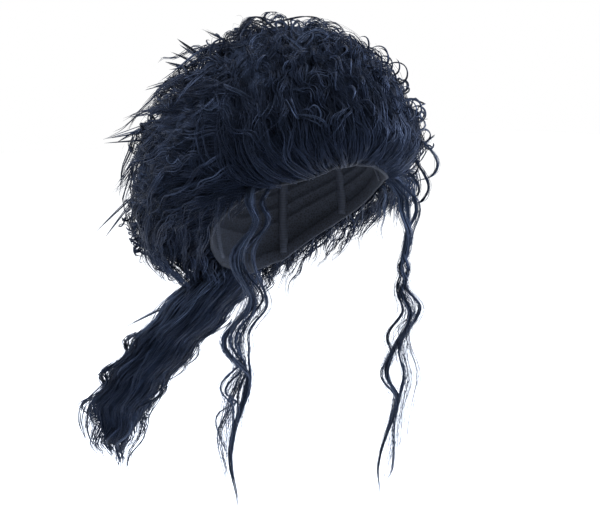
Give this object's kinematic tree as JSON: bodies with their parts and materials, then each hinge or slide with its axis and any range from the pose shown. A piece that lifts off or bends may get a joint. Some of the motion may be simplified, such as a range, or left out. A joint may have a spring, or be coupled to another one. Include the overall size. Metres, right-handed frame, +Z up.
{
  "type": "curly costume wig",
  "caption": "Costume wig of loose dark curls swept back from the forehead, with a wavy ponytail at the nape and a long curly tendril at each temple, on a thin cap.",
  "frame": {"origin": "inside of the cap at the crown, where the wig sits on the head", "axes": "+Z up, -Y the way the face looks, +X to the wearer's left"},
  "size_m": [0.2783, 0.326, 0.4686],
  "materials": {
    "hair": "synthetic fibre, curled, soft sheen",
    "cap_cloth": "stretch cap of sewn wefts, matt"
  },
  "bodies": {
    "root": {"wig_cap": "cap_cloth", "front_hair": "hair", "crown_curls": "hair", "side_curls_right": "hair", "side_curls_left": "hair", "back_curls": "hair", "ponytail": "hair", "tendril_right": "hair", "tendril_left": "hair"}
  },
  "joints": []
}
